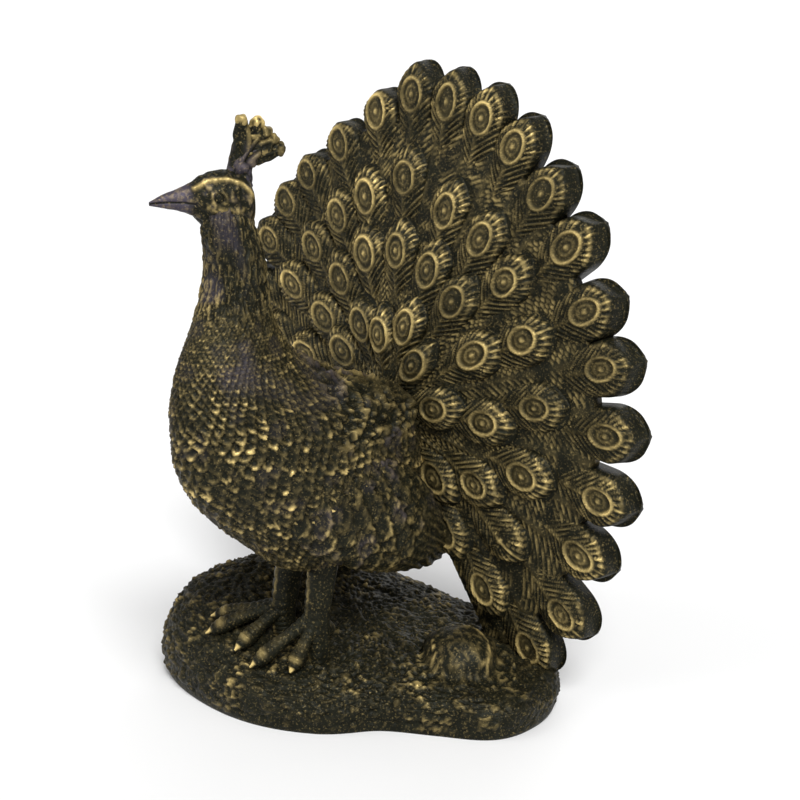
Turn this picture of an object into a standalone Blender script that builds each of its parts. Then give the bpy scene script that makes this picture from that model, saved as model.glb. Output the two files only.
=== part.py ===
"""Peacock figurine: a cast bird with its tail spread, standing on a rocky oval base.

The bird looks along -Y, its left side is +X and the underside of the base lies on z = 0.
All lengths are metres. The bird is drawn on a grid where it stands BIRD_GRID units tall,
so its proportions are plain numbers that scale with BIRD_HEIGHT. The base has its own sizes.
"""

import math

import bmesh
import bpy
import numpy as np
from mathutils import Vector

# Driving sizes
BASE_LENGTH = 0.208
BASE_DEPTH = 0.150
BASE_HEIGHT = 0.030
BIRD_HEIGHT = 0.270

# Share of the joined casting's facets that is kept, the smallest being merged
FACETS_KEPT = 0.87

# Corners closer than this are welded, in metres
WELD = 0.00001

# One unit of the bird's grid
BIRD_GRID = 270.0
UNIT = BIRD_HEIGHT / BIRD_GRID

# Rocky base: the widest outline as shares of the half length and half depth, counterclockwise,
# and the level of its top as shares of the base's height
BASE_OUTLINE = (
    (0.99, 0.17), (0.90, 0.53), (0.66, 0.83), (0.35, 0.96), (0.00, 0.95), (-0.37, 0.86),
    (-0.72, 0.64), (-0.94, 0.28), (-0.99, -0.14), (-0.95, -0.50), (-0.78, -0.81), (-0.42, -1.00),
    (-0.05, -1.02), (0.26, -0.86), (0.47, -0.55), (0.71, -0.36), (0.93, -0.17),
)
BASE_EDGE_POWER = 2.9
BASE_RIM_LEVEL = 0.009
BASE_RIM_INSET = 0.03
BASE_MIDDLE_RISE = 1.16
BASE_RISE_ALONG = -0.66
BASE_RISE_ENDS = 0.28
BASE_RISE_ACROSS = 0.12
BASE_ROUGHNESS = 0.0012
BASE_WALL_LEVELS = (0.0, 0.45)
LUMP_WAVES = (61, 74)
FINE_LUMP_WAVES = (143, 97, 171, -58)
BASE_SEGMENTS = 32
BASE_RINGS = 7

# Rounded rock on the base, beside the lowest feathers: place, radius and rise
ROCK_PLACE = (0.058, 0.007)
ROCK_RADIUS = 0.019
ROCK_RISE = 0.015
ROCK_ROUNDING = 2.5

# Fan of tail feathers, in bird units
FAN_ROOT_Y = 39.5
FAN_ROOT_Z = 107.5
FAN_REACH = 114.7
FAN_ASPECT = 1.273
FAN_LEAN = math.radians(2.2)
FAN_CURL = 0.00026
FAN_CONE = 31.0
FEATHER_SLOPE = 14.0
FAN_THICKNESS = 14.5
FAN_BACK_LEVEL = FAN_THICKNESS + 3.0
FAN_SECTOR = math.radians(150)
PLATE_REACH = 0.95
PLATE_STEPS = 28
PLATE_NOTCH = 0.22
PLATE_FRONT_LEVEL = -3.0
PLATE_BACK_LEVEL = -10.0
PLATE_TOP_SHARE = 0.8

# Rows of eyed feathers, from the rim inwards. Each row gives its feathers' half width as a share
# of their spacing, the most that half width may be, the length of the feather inside its eye,
# and then each feather: its angle from straight up in degrees and its eye's share of the reach
OUTER_ROW = (0.50, 14.0, 52.0, (
    (-134, 0.99), (-122, 1.00), (-110, 0.98), (-98, 1.01), (-86, 1.00), (-74, 1.00), (-62, 1.00),
    (-52, 1.00), (-42, 0.97), (-29, 0.96), (-15, 0.99), (-4, 1.03), (7, 1.02), (18, 1.02),
    (29, 1.01), (41, 0.99), (53, 0.99), (66, 0.98), (77, 1.01), (89, 1.02), (101, 1.02),
    (113, 1.00), (126, 1.035), (138.5, 1.015)))
SECOND_ROW = (0.46, 12.5, 46.0, (
    (-144, 0.72), (-130, 0.70), (-114, 0.71), (-97, 0.74), (-80, 0.80), (-64, 0.76), (-49, 0.73),
    (-34, 0.72), (-20, 0.72), (-3, 0.76), (17, 0.70), (34, 0.71), (49, 0.71), (66, 0.70),
    (84, 0.72), (103, 0.69), (124, 0.68), (141, 0.75)))
THIRD_ROW = (0.47, 12.0, 38.0, (
    (-146, 0.50), (-122, 0.50), (-99, 0.52), (-79, 0.56), (-60, 0.50), (-41, 0.52), (-22, 0.53),
    (-2, 0.52), (19, 0.50), (39, 0.49), (63, 0.48), (90, 0.49), (115, 0.50), (143, 0.50)))
FOURTH_ROW = (0.50, 11.0, 24.0, (
    (-128, 0.34), (-94, 0.32), (-60, 0.31), (-32, 0.30), (-10, 0.24), (18, 0.29), (45, 0.22),
    (85, 0.27), (129, 0.34)))
TIP_LENGTH = 16.0
TIP_LENGTH_FAR = 12.0
FAR_SIDE = (-56, -12)
EYE_LENGTH = 9.2
EYE_WIDTH = 6.4
RIM_DROP = 12.0
EYE_DOT_LIFT = 1.4
EYE_HOLLOW = -0.5
EYE_RING_LIFT = 1.0
TONGUE_LIP = 0.93
TONGUE_LIP_LEVEL = -4.5
TONGUE_TIP_LEVEL = -6.0
TONGUE_ROOT_LEVEL = -5.5
TONGUE_ROOT_LEVEL_AT_RIM = -8.0
PLAIN_ROOT_LEVEL = -1.0
ROOT_NARROWING = 0.42
TIP_ROUNDING = 0.8
SIDE_ROUNDING = 0.4
UNDERSIDE_PLACE = -10.0
UNDERSIDE_LEVEL = -9.0
OUTER_FEATHER_SIDES = 10
INNER_FEATHER_SIDES = 8

# Plain tail feathers and the rump behind the fan
RUMP_CENTRE = (0.0, 46.0, 84.0)
RUMP_HALF = (21.0, 18.0, 30.0)
BACK_ROW_SHARE = 0.46
BACK_ROW_PROUD = 6.5
BACK_ROW_WIDTH = 0.55
BACK_ROW_COUNT = 9
BACK_ROW_STEP = 30.0
BACK_ROW_INNER = 34.0

# Body and neck: level, front, back, half width, in bird units above the feet
BODY_STATIONS = (
    (40.0, -44.0, -14.0, 9.0),
    (44.0, -54.0, 2.0, 19.0),
    (54.0, -67.0, 20.0, 28.0),
    (66.0, -82.0, 30.0, 33.0),
    (82.0, -99.0, 33.0, 35.5),
    (100.0, -110.5, 31.0, 36.0),
    (118.0, -114.0, 22.0, 33.0),
    (134.0, -113.5, -22.0, 27.0),
    (150.0, -109.5, -50.0, 20.5),
    (166.0, -102.0, -61.5, 16.0),
    (182.0, -95.8, -65.2, 13.5),
    (198.0, -94.0, -67.2, 12.2),
    (210.0, -97.5, -71.0, 10.2),
    (219.0, -92.0, -73.5, 7.0),
)
BODY_LEVELS = 22
BODY_SEGMENTS = 20
SCALE_RELIEF = 0.9
SCALE_DROP = 1.6
HACKLE_RELIEF = 0.45
NECK_LEVEL = 165.0

# Head
HEAD_CENTRE = (0.0, -80.0, 220.5)
HEAD_YAW = math.radians(28)
HEAD_STATIONS = (
    (-9.0, 4.0, 4.0, -9.0),
    (-7.0, 7.0, 9.0, -12.0),
    (-2.0, 8.8, 12.6, -14.0),
    (6.0, 9.2, 13.4, -13.0),
    (12.5, 8.0, 12.0, -10.0),
    (18.0, 5.4, 9.0, -5.5),
    (24.0, 3.8, 6.2, -3.6),
    (31.0, 2.4, 3.8, -2.0),
    (36.8, 0.7, 1.0, -0.7),
)
HEAD_SEGMENTS = 12
EYE_PLACE = (8.0, 8.4, 2.0)
EYE_RADIUS = 2.2

# Crest: direction from straight up towards the back in degrees, and length
CREST_FOOT = (-3.0, 9.5)
CREST_PLUMES = ((-1, 24.7), (15, 24.8), (28, 24.5), (42, 22.4), (58, 21.7))
CREST_RADII = (4.4, 3.2, 2.4)
CREST_TIP_RADIUS = 3.0
CREST_SUNK = 4.0
CREST_NECK = (4.5, 7.0)

# Wings
WING_CENTRE = (27.0, -22.0, 70.5)
WING_HALF = (62.0, 29.0, 14.0)
WING_PITCH = math.radians(31)
WING_TAPER = 0.25
WING_TUCK = 6.0
WING_RELIEF = 0.035
WING_ROWS = 12
WING_SEGMENTS = 12

# Legs: hip and ankle in bird units, and the tips of their toes, which lie on the base
LEFT_LEG = ((12.5, -38.0, 52.0), (11.0, -42.5, 21.5))
RIGHT_LEG = ((-12.5, -33.0, 52.0), (-15.0, -39.0, 18.5))
LEFT_TOES = ((-8.2, -69.4), (10.2, -61.0), (3.0, -27.0))
RIGHT_TOES = ((-49.0, -56.5), (-43.4, -65.2), (-21.7, -66.4), (-22.0, -24.0))
LEG_RADII = (7.7, 6.0, 5.6)
LEG_SUNK = 3.0
TOE_RADIUS = 3.0
TOE_STATIONS = ((0.0, 1.5), (0.25, 1.15), (0.5, 0.95), (0.7, 1.25), (0.87, 0.95), (1.0, 0.33))
TOE_LIE = 0.55
TOE_START = 3.0
TOE_SLOPE = 1.15


def clear_scene():
    """Start from an empty file."""
    for item in list(bpy.data.objects):
        bpy.data.objects.remove(item, do_unlink=True)


def new_collection(name):
    """A collection under the scene's own."""
    collection = bpy.data.collections.new(name)
    bpy.context.scene.collection.children.link(collection)
    return collection


def mesh_object(name, bm, collection):
    """Turn a bmesh into an object of flat facets pointing out.

    Warped four-sided faces are split before the union, because one that the union cuts into a
    many-sided face can't be split cleanly afterwards.
    """
    bmesh.ops.triangulate(bm, faces=bm.faces)
    bmesh.ops.recalc_face_normals(bm, faces=bm.faces)
    mesh = bpy.data.meshes.new(name)
    bm.to_mesh(mesh)
    bm.free()
    made = bpy.data.objects.new(name, mesh)
    collection.objects.link(made)
    return made


def loft(bm, rings, scaly=False):
    """Join closed rings of points in order, with a point or a flat face at each end.

    Scaly rings have a raised point at every other place, staggered from ring to ring, and each
    four-sided face is then split between its two low points.
    """
    made = [[bm.verts.new(point) for point in ring] for ring in rings]
    for row, (low, high) in enumerate(zip(made, made[1:])):
        count = max(len(low), len(high))
        for i in range(count):
            j = (i + 1) % count
            if len(low) == 1:
                bm.faces.new((low[0], high[j], high[i]))
            elif len(high) == 1:
                bm.faces.new((low[i], low[j], high[0]))
            elif scaly and (row + i) % 2:
                bm.faces.new((low[i], low[j], high[i]))
                bm.faces.new((low[j], high[j], high[i]))
            elif scaly:
                bm.faces.new((low[i], low[j], high[j]))
                bm.faces.new((low[i], high[j], high[i]))
            else:
                bm.faces.new((low[i], low[j], high[j], high[i]))
    for ring in (made[0], made[-1]):
        if len(ring) > 2:
            bm.faces.new(ring)


def smooth_rows(table, keys):
    """Read a table of stations at the given first values through a smooth curve."""
    rows = np.array(table)
    x = rows[:, 0]
    slopes = np.gradient(rows[:, 1:], x, axis=0)
    place = np.clip(np.searchsorted(x, keys) - 1, 0, len(x) - 2)
    span = (x[place + 1] - x[place])[:, None]
    t = ((keys - x[place])[:, None]) / span
    low, high = rows[place, 1:], rows[place + 1, 1:]
    return ((2 * t ** 3 - 3 * t ** 2 + 1) * low + (t ** 3 - 2 * t ** 2 + t) * span * slopes[place]
            + (3 * t ** 2 - 2 * t ** 3) * high + (t ** 3 - t ** 2) * span * slopes[place + 1])


def outline_reach(turn):
    """Distance of the base's widest outline from its middle, as shares, at given directions."""
    points = np.array(BASE_OUTLINE)
    turns = np.arctan2(points[:, 1], points[:, 0])
    order = np.argsort(turns)
    turns, reach = turns[order], np.hypot(points[:, 0], points[:, 1])[order]
    full = 2 * math.pi
    table = np.column_stack([np.concatenate([turns - full, turns, turns + full]), np.tile(reach, 3)])
    return smooth_rows(table, np.asarray(turn, float))[:, 0]


def lump_field(x, y):
    """Low rounded lumps and hollows over the base, from -1 to 1."""
    coarse = np.sin(x * LUMP_WAVES[0] + 1.3) * np.sin(y * LUMP_WAVES[1] + 0.4)
    a, b, c, d = FINE_LUMP_WAVES
    return 0.6 * coarse + 0.4 * np.sin(x * a + y * b) * np.sin(y * c + x * d)


def base_height(x, y):
    """Height of the rocky top over points of the plan."""
    x, y = np.atleast_1d(x), np.atleast_1d(y)
    u = x / (BASE_LENGTH / 2)
    v = y / (BASE_DEPTH / 2)
    reach = np.minimum(1.0, np.hypot(u, v) / outline_reach(np.arctan2(v, u)))
    top = BASE_HEIGHT * (BASE_MIDDLE_RISE + BASE_RISE_ALONG * u + BASE_RISE_ENDS * u * u
                         + BASE_RISE_ACROSS * v)
    dome = (1 - reach ** BASE_EDGE_POWER) ** (1 / BASE_EDGE_POWER)
    away = np.hypot(x - ROCK_PLACE[0], y - ROCK_PLACE[1]) / ROCK_RADIUS
    rock = ROCK_RISE * np.sqrt(np.maximum(0.0, 1 - away ** ROCK_ROUNDING))
    rough = BASE_ROUGHNESS * lump_field(x, y)
    return BASE_RIM_LEVEL + (top - BASE_RIM_LEVEL + rough + rock) * dome


def build_base(collection):
    """A mound with an irregular oval plan, a bulging side and a flat underside."""
    turns = 2 * math.pi * np.arange(BASE_SEGMENTS) / BASE_SEGMENTS
    edge = outline_reach(turns)
    side = np.column_stack([np.cos(turns) * edge * BASE_LENGTH / 2, np.sin(turns) * edge * BASE_DEPTH / 2])
    rings = []
    for level in BASE_WALL_LEVELS:
        inset = 1 - BASE_RIM_INSET * (1 - level) ** 2
        rings.append([(x * inset, y * inset, BASE_RIM_LEVEL * level) for x, y in side])
    for row in range(BASE_RINGS):
        reach = math.cos(math.pi / 2 * row / BASE_RINGS) ** (2 / BASE_EDGE_POWER)
        spots = side * reach
        rings.append([(x, y, z) for (x, y), z in zip(spots, base_height(spots[:, 0], spots[:, 1]))])
    rings.append([(0.0, 0.0, base_height(0.0, 0.0)[0])])
    bm = bmesh.new()
    loft(bm, rings)
    return mesh_object("rocky_base", bm, collection)


def bird_point(x, y, z):
    """Place a point of the bird's grid over the base."""
    return Vector((x * UNIT, y * UNIT, z * UNIT + BASE_HEIGHT))


def fan_point(s, t, forward):
    """Place a point of the fan: across, up from the root, and forward of its plane."""
    out = forward + FAN_CURL * s * s
    y = FAN_ROOT_Y + t * math.sin(FAN_LEAN) - out * math.cos(FAN_LEAN)
    z = FAN_ROOT_Z + t * math.cos(FAN_LEAN) + out * math.sin(FAN_LEAN)
    return bird_point(s, y, z)


def feather_spacing(share, step, angle):
    """Distance between neighbouring feathers of a row at an angle, for a step in radians."""
    stretch = math.hypot(math.cos(angle), FAN_ASPECT * math.sin(angle))
    return FAN_REACH * share * step * stretch


def build_feather(collection, share, angle, half_width, inner, kind):
    """One feather: a domed tongue, with a raised ring and dot for its eye.

    The kind is outer for a feather that stands free at the rim, inner for one that lies on the
    others, and plain for one at the back, which faces back and has no eye.
    """
    way = Vector((math.sin(angle), FAN_ASPECT * math.cos(angle)))
    centre = way * FAN_REACH * share
    along = way.normalized()
    across = Vector((along.y, -along.x))
    facing = -1 if kind == "plain" else 1
    level = -FAN_THICKNESS - BACK_ROW_PROUD if kind == "plain" else FAN_CONE * (1 - share)
    far = kind == "outer" and FAR_SIDE[0] < math.degrees(angle) < FAR_SIDE[1]
    tip = TIP_LENGTH_FAR if far else TIP_LENGTH
    sides = OUTER_FEATHER_SIDES if kind == "outer" else INNER_FEATHER_SIDES
    turns = [2 * math.pi * i / sides for i in range(sides)]

    def place(a, c, w):
        spot = centre + along * a + across * c
        reach = math.hypot(spot.x, spot.y / FAN_ASPECT) / FAN_REACH
        return fan_point(spot.x, spot.y, level + facing * (w + FEATHER_SLOPE * (share - reach)))

    def oval(length, width, w):
        return [place(length * math.cos(turn), width * math.sin(turn), w) for turn in turns]

    def tongue(grow, w_tip, w_root):
        ring = []
        for turn in turns:
            back = max(0.0, -math.cos(turn))
            wide = abs(math.sin(turn)) ** (TIP_ROUNDING if back == 0 else SIDE_ROUNDING)
            wide *= math.copysign(half_width * (1 - ROOT_NARROWING * back), math.sin(turn)) * grow
            length = tip * math.cos(turn) * grow if back == 0 else -inner * back
            ring.append(place(length, wide, w_tip + (w_root - w_tip) * back))
        return ring

    if kind == "plain":
        rings = [[place(0, 0, EYE_RING_LIFT)]]
    else:
        rings = [
            [place(0, 0, EYE_DOT_LIFT)],
            oval(EYE_LENGTH * 0.5, EYE_WIDTH * 0.5, EYE_HOLLOW),
            oval(EYE_LENGTH, EYE_WIDTH, EYE_RING_LIFT),
        ]
    if kind == "outer":
        rings.append(tongue(TONGUE_LIP, TONGUE_LIP_LEVEL, TONGUE_ROOT_LEVEL))
        rings.append(tongue(1.0, -RIM_DROP, TONGUE_ROOT_LEVEL_AT_RIM))
        rings.append([place(UNDERSIDE_PLACE, 0, -FAN_BACK_LEVEL)])
    else:
        root = PLAIN_ROOT_LEVEL if kind == "plain" else TONGUE_ROOT_LEVEL
        rings.append(tongue(1.0, TONGUE_TIP_LEVEL, root))
        rings.append([place(UNDERSIDE_PLACE, 0, UNDERSIDE_LEVEL)])
    bm = bmesh.new()
    loft(bm, rings)
    return mesh_object("feather", bm, collection)


def build_fan(collection):
    """A shallow cone behind four rows of eyed feathers, with plain tail feathers at the back."""
    outline = []
    reach = FAN_REACH * PLATE_REACH
    for i in range(PLATE_STEPS + 1):
        angle = -FAN_SECTOR + 2 * FAN_SECTOR * i / PLATE_STEPS
        outline.append((reach * math.sin(angle), reach * FAN_ASPECT * math.cos(angle)))
    outline.append((0.0, -FAN_REACH * PLATE_NOTCH))
    bm = bmesh.new()
    loft(bm, [
        [fan_point(0, 0, FAN_CONE * PLATE_TOP_SHARE)],
        [fan_point(s, t, PLATE_FRONT_LEVEL) for s, t in outline],
        [fan_point(s, t, PLATE_BACK_LEVEL) for s, t in outline],
        [fan_point(0, 0, -FAN_BACK_LEVEL)],
    ])
    mesh_object("fan_plate", bm, collection)
    for row in (OUTER_ROW, SECOND_ROW, THIRD_ROW, FOURTH_ROW):
        wide, limit, inner, feathers = row
        step = math.radians((feathers[-1][0] - feathers[0][0]) / (len(feathers) - 1))
        kind = "outer" if row is OUTER_ROW else "inner"
        for degrees, share in feathers:
            angle = math.radians(degrees)
            half = min(limit, wide * feather_spacing(share, step, angle))
            build_feather(collection, share, angle, half, inner, kind)
    step = math.radians(BACK_ROW_STEP)
    for i in range(BACK_ROW_COUNT):
        angle = step * (i - (BACK_ROW_COUNT - 1) / 2)
        half = BACK_ROW_WIDTH * feather_spacing(BACK_ROW_SHARE, step, angle)
        build_feather(collection, BACK_ROW_SHARE, angle, half, BACK_ROW_INNER, "plain")


def build_rump(collection):
    """A rounded rump that closes the root of the fan from behind."""
    bm = bmesh.new()
    bmesh.ops.create_uvsphere(bm, u_segments=12, v_segments=8, radius=1)
    for vert in bm.verts:
        spot = [middle + half * share for middle, half, share in zip(RUMP_CENTRE, RUMP_HALF, vert.co)]
        vert.co = bird_point(*spot)
    return mesh_object("rump", bm, collection)


def build_body(collection):
    """Body and neck as level slices, with rows of scales that turn to strokes on the neck."""
    levels = np.linspace(BODY_STATIONS[0][0], BODY_STATIONS[-1][0], BODY_LEVELS)
    rings = []
    for row, (level, (front, back, half)) in enumerate(zip(levels, smooth_rows(BODY_STATIONS, levels))):
        middle, reach = (front + back) / 2, (back - front) / 2
        ring = []
        for i in range(BODY_SEGMENTS):
            turn = 2 * math.pi * i / BODY_SEGMENTS
            raised, relief = (row + i) % 2, SCALE_RELIEF
            if level > NECK_LEVEL:
                raised, relief = i % 2, HACKLE_RELIEF
            relief *= (1 if raised else -1) * (0 < row < BODY_LEVELS - 1)
            drop = SCALE_DROP if raised and 0 < row < BODY_LEVELS - 1 else 0
            ring.append(bird_point((half + relief) * math.cos(turn),
                                   middle + (reach + relief) * math.sin(turn), level - drop))
        rings.append(ring)
    bm = bmesh.new()
    loft(bm, rings, scaly=True)
    return mesh_object("body", bm, collection)


def head_point(ahead, aside, up):
    """Place a point of the head: ahead along the beak, aside and up."""
    x, y, z = HEAD_CENTRE
    return bird_point(x - ahead * math.sin(HEAD_YAW) + aside * math.cos(HEAD_YAW),
                      y - ahead * math.cos(HEAD_YAW) - aside * math.sin(HEAD_YAW), z + up)


def build_head(collection):
    """Head and beak as one loft along the beak, with an eye on each side."""
    rings = []
    for ahead, half, top, bottom in HEAD_STATIONS:
        middle, reach = (top + bottom) / 2, (top - bottom) / 2
        rings.append([head_point(ahead, half * math.cos(2 * math.pi * i / HEAD_SEGMENTS),
                                 middle + reach * math.sin(2 * math.pi * i / HEAD_SEGMENTS))
                      for i in range(HEAD_SEGMENTS)])
    bm = bmesh.new()
    loft(bm, rings)
    mesh_object("head", bm, collection)
    ahead, aside, up = EYE_PLACE
    for side in (-1, 1):
        build_ball(collection, head_point(ahead, side * aside, up), EYE_RADIUS)


def build_ball(collection, centre, radius):
    """A small faceted ball."""
    bm = bmesh.new()
    bmesh.ops.create_icosphere(bm, subdivisions=1, radius=radius * UNIT)
    bmesh.ops.translate(bm, verts=bm.verts, vec=centre)
    return mesh_object("ball", bm, collection)


def build_tube(collection, points, radii, rounding=1):
    """A tapering round limb along points, as a bevelled curve made solid."""
    curve = bpy.data.curves.new("limb", "CURVE")
    curve.dimensions = "3D"
    curve.bevel_depth = UNIT
    curve.bevel_resolution = rounding
    curve.use_fill_caps = True
    spline = curve.splines.new("POLY")
    spline.points.add(len(points) - 1)
    for spot, point, radius in zip(spline.points, points, radii):
        spot.co = (*point, 1)
        spot.radius = radius
    guide = bpy.data.objects.new("limb", curve)
    collection.objects.link(guide)
    mesh = bpy.data.meshes.new_from_object(guide.evaluated_get(bpy.context.evaluated_depsgraph_get()))
    bm = bmesh.new()
    bm.from_mesh(mesh)
    bmesh.ops.remove_doubles(bm, verts=bm.verts, dist=WELD)
    bpy.data.objects.remove(guide)
    return mesh_object("limb", bm, collection)


def build_crest(collection):
    """A tuft of short plumes with round tips, spread in the head's own plane."""
    ahead, up = CREST_FOOT
    foot = head_point(ahead, 0, up - CREST_SUNK)
    spread, rise = CREST_NECK
    for turn, length in CREST_PLUMES:
        lean = math.radians(turn)
        tip = head_point(ahead - length * math.sin(lean), 0, up + length * math.cos(lean))
        neck = head_point(ahead - spread * math.sin(lean), 0, up + rise)
        build_tube(collection, (foot, neck, tip), CREST_RADII)
        build_ball(collection, tip, CREST_TIP_RADIUS)


def build_wing(collection, side):
    """A rounded wing folded against the body, with coarse scallops."""
    along_half, tall_half, thick_half = WING_HALF
    rings = []
    for row in range(WING_ROWS + 1):
        lean = math.pi * row / WING_ROWS
        along = -math.cos(lean)
        round_off = math.sin(lean) ** 0.8
        ring = []
        for i in range(WING_SEGMENTS):
            turn = 2 * math.pi * i / WING_SEGMENTS
            relief = 1 + (WING_RELIEF if (row + i) % 2 else -WING_RELIEF)
            tall = math.cos(turn) * tall_half * round_off * (1 - WING_TAPER * along) * relief
            thick = math.sin(turn) * thick_half * round_off * relief
            shift = along * along_half
            y = shift * math.cos(WING_PITCH) + tall * math.sin(WING_PITCH)
            z = -shift * math.sin(WING_PITCH) + tall * math.cos(WING_PITCH)
            x = WING_CENTRE[0] + thick - WING_TUCK * max(0.0, -along)
            ring.append(bird_point(side * x, WING_CENTRE[1] + y, WING_CENTRE[2] + z))
        rings.append(ring if 0 < row < WING_ROWS else ring[:1])
    bm = bmesh.new()
    loft(bm, rings, scaly=True)
    return mesh_object("wing", bm, collection)


def build_legs(collection):
    """Two legs, with toes that slope from the ankle down to the base."""
    for (hip, ankle), toes in ((LEFT_LEG, LEFT_TOES), (RIGHT_LEG, RIGHT_TOES)):
        top, bend = bird_point(*hip), bird_point(*ankle)
        ground = base_height(bend.x, bend.y)[0]
        heel = Vector((bend.x, bend.y, ground - LEG_SUNK * UNIT))
        build_tube(collection, (top, bend, heel), LEG_RADII, rounding=2)
        rise = bend.z - ground - TOE_START * UNIT
        for x, y in toes:
            points, radii = [], []
            for share, girth in TOE_STATIONS:
                spot = bend.xy.lerp(Vector((x * UNIT, y * UNIT)), share)
                lift = TOE_RADIUS * UNIT * TOE_LIE + rise * (1 - share) ** TOE_SLOPE
                points.append((spot.x, spot.y, base_height(spot.x, spot.y)[0] + lift))
                radii.append(TOE_RADIUS * girth)
            build_tube(collection, points, radii)


def join_all(name, parts, collection, material):
    """Unite every solid of the casting into one closed mesh."""
    casting = bpy.data.objects.new(name, parts.objects["rocky_base"].data.copy())
    collection.objects.link(casting)
    bpy.data.objects.remove(parts.objects["rocky_base"], do_unlink=True)
    union = casting.modifiers.new("cast as one", "BOOLEAN")
    union.operation = "UNION"
    union.operand_type = "COLLECTION"
    union.collection = parts
    union.solver = "EXACT"
    trim = casting.modifiers.new("merge the smallest facets", "DECIMATE")
    trim.ratio = FACETS_KEPT
    casting.data.materials.append(material)
    return casting


def bronze():
    """Dark antique bronze."""
    material = bpy.data.materials.new("antique_bronze")
    material.use_nodes = True
    shader = material.node_tree.nodes["Principled BSDF"]
    shader.inputs["Base Color"].default_value = (0.115, 0.095, 0.045, 1)
    shader.inputs["Metallic"].default_value = 0.7
    shader.inputs["Roughness"].default_value = 0.42
    return material


def main():
    clear_scene()
    collection = new_collection("peacock_figurine")
    parts = new_collection("cast_together")
    build_base(parts)
    build_fan(parts)
    build_rump(parts)
    build_body(parts)
    build_head(parts)
    build_crest(parts)
    build_legs(parts)
    for side in (-1, 1):
        build_wing(parts, side)
    for item in parts.objects:
        item.hide_render = True
        item.display_type = "WIRE"
    join_all("peacock_figurine", parts, collection, bronze())


main()
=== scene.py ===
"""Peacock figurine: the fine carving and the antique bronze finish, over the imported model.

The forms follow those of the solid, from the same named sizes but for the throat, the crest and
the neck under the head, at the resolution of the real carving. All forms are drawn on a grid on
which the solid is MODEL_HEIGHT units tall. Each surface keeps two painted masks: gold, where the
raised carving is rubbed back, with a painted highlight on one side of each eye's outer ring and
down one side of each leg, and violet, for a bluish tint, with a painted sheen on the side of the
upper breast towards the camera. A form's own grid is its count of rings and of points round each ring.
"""

import math

import bpy
import numpy as np
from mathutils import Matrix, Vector


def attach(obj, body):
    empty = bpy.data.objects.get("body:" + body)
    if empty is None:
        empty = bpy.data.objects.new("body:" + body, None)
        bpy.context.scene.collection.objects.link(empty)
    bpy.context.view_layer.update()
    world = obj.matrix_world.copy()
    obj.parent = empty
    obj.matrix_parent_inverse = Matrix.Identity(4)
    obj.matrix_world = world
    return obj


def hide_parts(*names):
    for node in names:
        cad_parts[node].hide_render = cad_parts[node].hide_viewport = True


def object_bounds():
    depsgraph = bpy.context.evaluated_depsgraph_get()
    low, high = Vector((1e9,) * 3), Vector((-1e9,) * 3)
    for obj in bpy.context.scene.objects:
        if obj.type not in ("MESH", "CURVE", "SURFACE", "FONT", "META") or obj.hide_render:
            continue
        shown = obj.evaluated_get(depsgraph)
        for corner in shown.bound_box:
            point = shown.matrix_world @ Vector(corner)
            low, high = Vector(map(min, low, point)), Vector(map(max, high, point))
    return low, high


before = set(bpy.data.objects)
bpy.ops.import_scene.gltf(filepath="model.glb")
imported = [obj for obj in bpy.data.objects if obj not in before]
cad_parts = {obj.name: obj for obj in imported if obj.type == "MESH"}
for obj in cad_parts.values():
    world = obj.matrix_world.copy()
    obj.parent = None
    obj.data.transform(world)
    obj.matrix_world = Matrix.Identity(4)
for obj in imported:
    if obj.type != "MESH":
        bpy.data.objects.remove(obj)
SOLID_BOX = [list(corner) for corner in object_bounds()]

# The grid that the forms are drawn on, and the size of one of its units in metres
MODEL_HEIGHT = 302.8
UNIT = (SOLID_BOX[1][2] - SOLID_BOX[0][2]) / MODEL_HEIGHT

# Rocky base, and the rock on it with its crescent ridge, given as a centre and radius
BASE_LENGTH = 208.0
BASE_DEPTH = 150.0
BASE_HEIGHT = 30.0
BASE_OUTLINE = (
    (0.99, 0.17), (0.90, 0.53), (0.66, 0.83), (0.35, 0.96), (0.00, 0.95), (-0.37, 0.86),
    (-0.72, 0.64), (-0.94, 0.28), (-0.99, -0.14), (-0.95, -0.50), (-0.78, -0.81), (-0.42, -1.00),
    (-0.05, -1.02), (0.26, -0.86), (0.47, -0.55), (0.71, -0.36), (0.93, -0.17),
)
BASE_EDGE_POWER = 2.9
BASE_RIM_LEVEL = 9.0
BASE_RIM_INSET = 0.03
BASE_MIDDLE_RISE = 1.16
BASE_RISE_ALONG = -0.66
BASE_RISE_ENDS = 0.28
BASE_RISE_ACROSS = 0.12
BASE_TURNS = 420
BASE_RINGS = 130
BASE_RINGS_EVEN = 0.7
BASE_UNDER_RINGS = (0.3, 0.6, 0.9)
BASE_WALL_RINGS = 12
BASE_WALL_TOP = 0.9
ROCK_PLACE = (58.0, 7.0)
ROCK_RADIUS = 19.0
ROCK_RISE = 15.0
ROCK_ROUNDING = 2.5
ROCK_LUMP_SIZE = 9.0
ROCK_LUMP_RELIEF = 1.6
CRESCENT = (62.0, 2.0, 14.0)
CRESCENT_WIDTH = 1.2
CRESCENT_RELIEF = 0.6
CRESCENT_FOOT = 12.0
SMOOTH_END = (76.0, 98.0)
CRUMB_SIZES = (2.6, 1.5)
CRUMB_RELIEF = 1.9
WORM_RELIEF = 0.7
WORM_SIZE = 4.2
WORM_WIDTHS = (0.11, 0.09)
LUMP_SIZE = 16.0
LUMP_RELIEF = 1.2
BASE_SUNK = 1.0

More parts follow.
